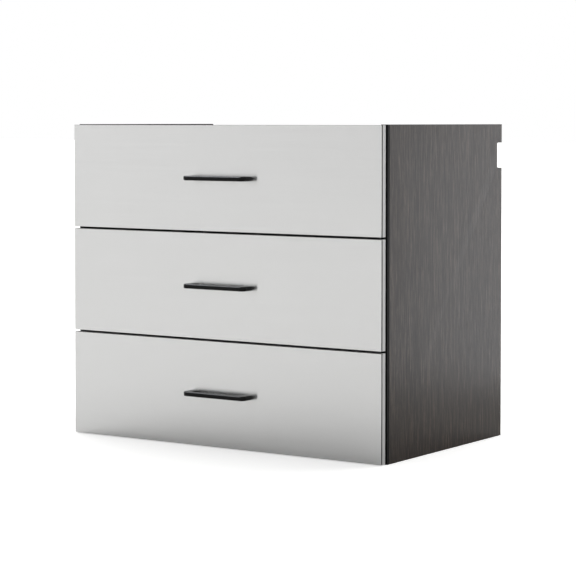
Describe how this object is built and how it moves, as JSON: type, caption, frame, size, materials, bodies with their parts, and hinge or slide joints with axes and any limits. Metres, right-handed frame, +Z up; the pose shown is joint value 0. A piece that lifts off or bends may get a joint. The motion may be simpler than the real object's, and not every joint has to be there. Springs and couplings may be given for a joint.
{
  "type": "drawer base cabinet",
  "caption": "Open-topped base cabinet with wide steel-faced drawer fronts, black bar handles, telescopic ball-bearing slides and dark wood-effect side boards.",
  "frame": {"origin": "middle of the carcass's footprint, on the floor; the fronts and handles stand out in front of it", "axes": "+Z up, the drawers open towards -Y, +X is the right side as seen from the front"},
  "size_m": [0.9, 0.594, 0.77],
  "materials": {
    "wood_effect": "dark grey-brown wood-effect laminate, fine vertical grain",
    "back_board": "plain grey laminate",
    "black_edging": "black edge band",
    "front_steel": "fine horizontal brushing",
    "front_core": "light grey metallic edge band",
    "handle_black": "satin black",
    "box_steel": "satin stainless sheet",
    "galvanised_steel": "galvanised, faint spangle",
    "slide_steel": "bright zinc-plated",
    "cage_steel": "steel balls in pressed cages",
    "zinc": "zinc-plated",
    "beech": "plain beech",
    "black_rubber": "matt"
  },
  "bodies": {
    "carcass": {"side_panel_left": "wood_effect", "side_panel_right": "wood_effect", "bottom_panel": "wood_effect", "back_panel": "back_board", "front_top_rail": "galvanised_steel", "rear_top_rail": "wood_effect", "front_edge_bands": "black_edging", "cam_locks": "zinc", "cam_bolts": "zinc", "dowels": "beech", "rail_screws": "zinc", "slide_screws": "zinc", "slide_stops": "black_rubber", "slide_outer_bottom": "slide_steel", "slide_outer_middle": "slide_steel", "slide_outer_top": "slide_steel"},
    "drawer_top": {"front_board_top": "front_core", "front_sheet_top": "front_steel", "handle_top": "handle_black", "front_wall_top": "box_steel", "left_wall_top": "box_steel", "right_wall_top": "box_steel", "back_wall_top": "box_steel", "floor_top": "box_steel", "fixings_top": "zinc", "bumpers_top": "black_rubber", "slide_inner_top": "slide_steel"},
    "slide_middle_top": {"slide_middle_top": "slide_steel"},
    "cages_outer_top": {"ball_cages_outer_top": "cage_steel"},
    "cages_inner_top": {"ball_cages_inner_top": "cage_steel"},
    "drawer_middle": {"front_board_middle": "front_core", "front_sheet_middle": "front_steel", "handle_middle": "handle_black", "front_wall_middle": "box_steel", "left_wall_middle": "box_steel", "right_wall_middle": "box_steel", "back_wall_middle": "box_steel", "floor_middle": "box_steel", "fixings_middle": "zinc", "bumpers_middle": "black_rubber", "slide_inner_middle": "slide_steel"},
    "slide_middle_middle": {"slide_middle_middle": "slide_steel"},
    "cages_outer_middle": {"ball_cages_outer_middle": "cage_steel"},
    "cages_inner_middle": {"ball_cages_inner_middle": "cage_steel"},
    "drawer_bottom": {"front_board_bottom": "front_core", "front_sheet_bottom": "front_steel", "handle_bottom": "handle_black", "front_wall_bottom": "box_steel", "left_wall_bottom": "box_steel", "right_wall_bottom": "box_steel", "back_wall_bottom": "box_steel", "floor_bottom": "box_steel", "fixings_bottom": "zinc", "bumpers_bottom": "black_rubber", "slide_inner_bottom": "slide_steel"},
    "slide_middle_bottom": {"slide_middle_bottom": "slide_steel"},
    "cages_outer_bottom": {"ball_cages_outer_bottom": "cage_steel"},
    "cages_inner_bottom": {"ball_cages_inner_bottom": "cage_steel"}
  },
  "joints": [
    {"name": "drawer_top", "type": "slide", "parent": "carcass", "child": "drawer_top", "axis": [0, -1, 0], "range_m": [0, 0.44]},
    {"name": "slide_middle_top", "type": "slide", "parent": "carcass", "child": "slide_middle_top", "axis": [0, -1, 0], "range_m": [0, 0.22]},
    {"name": "cages_outer_top", "type": "slide", "parent": "carcass", "child": "cages_outer_top", "axis": [0, -1, 0], "range_m": [0, 0.11]},
    {"name": "cages_inner_top", "type": "slide", "parent": "carcass", "child": "cages_inner_top", "axis": [0, -1, 0], "range_m": [0, 0.33]},
    {"name": "drawer_middle", "type": "slide", "parent": "carcass", "child": "drawer_middle", "axis": [0, -1, 0], "range_m": [0, 0.44]},
    {"name": "slide_middle_middle", "type": "slide", "parent": "carcass", "child": "slide_middle_middle", "axis": [0, -1, 0], "range_m": [0, 0.22]},
    {"name": "cages_outer_middle", "type": "slide", "parent": "carcass", "child": "cages_outer_middle", "axis": [0, -1, 0], "range_m": [0, 0.11]},
    {"name": "cages_inner_middle", "type": "slide", "parent": "carcass", "child": "cages_inner_middle", "axis": [0, -1, 0], "range_m": [0, 0.33]},
    {"name": "drawer_bottom", "type": "slide", "parent": "carcass", "child": "drawer_bottom", "axis": [0, -1, 0], "range_m": [0, 0.44]},
    {"name": "slide_middle_bottom", "type": "slide", "parent": "carcass", "child": "slide_middle_bottom", "axis": [0, -1, 0], "range_m": [0, 0.22]},
    {"name": "cages_outer_bottom", "type": "slide", "parent": "carcass", "child": "cages_outer_bottom", "axis": [0, -1, 0], "range_m": [0, 0.11]},
    {"name": "cages_inner_bottom", "type": "slide", "parent": "carcass", "child": "cages_inner_bottom", "axis": [0, -1, 0], "range_m": [0, 0.33]}
  ],
  "couplings": [
    {"joint": "slide_middle_top", "follows": "drawer_top", "ratio": 0.5},
    {"joint": "cages_outer_top", "follows": "drawer_top", "ratio": 0.25},
    {"joint": "cages_inner_top", "follows": "drawer_top", "ratio": 0.75},
    {"joint": "slide_middle_middle", "follows": "drawer_middle", "ratio": 0.5},
    {"joint": "cages_outer_middle", "follows": "drawer_middle", "ratio": 0.25},
    {"joint": "cages_inner_middle", "follows": "drawer_middle", "ratio": 0.75},
    {"joint": "slide_middle_bottom", "follows": "drawer_bottom", "ratio": 0.5},
    {"joint": "cages_outer_bottom", "follows": "drawer_bottom", "ratio": 0.25},
    {"joint": "cages_inner_bottom", "follows": "drawer_bottom", "ratio": 0.75}
  ]
}
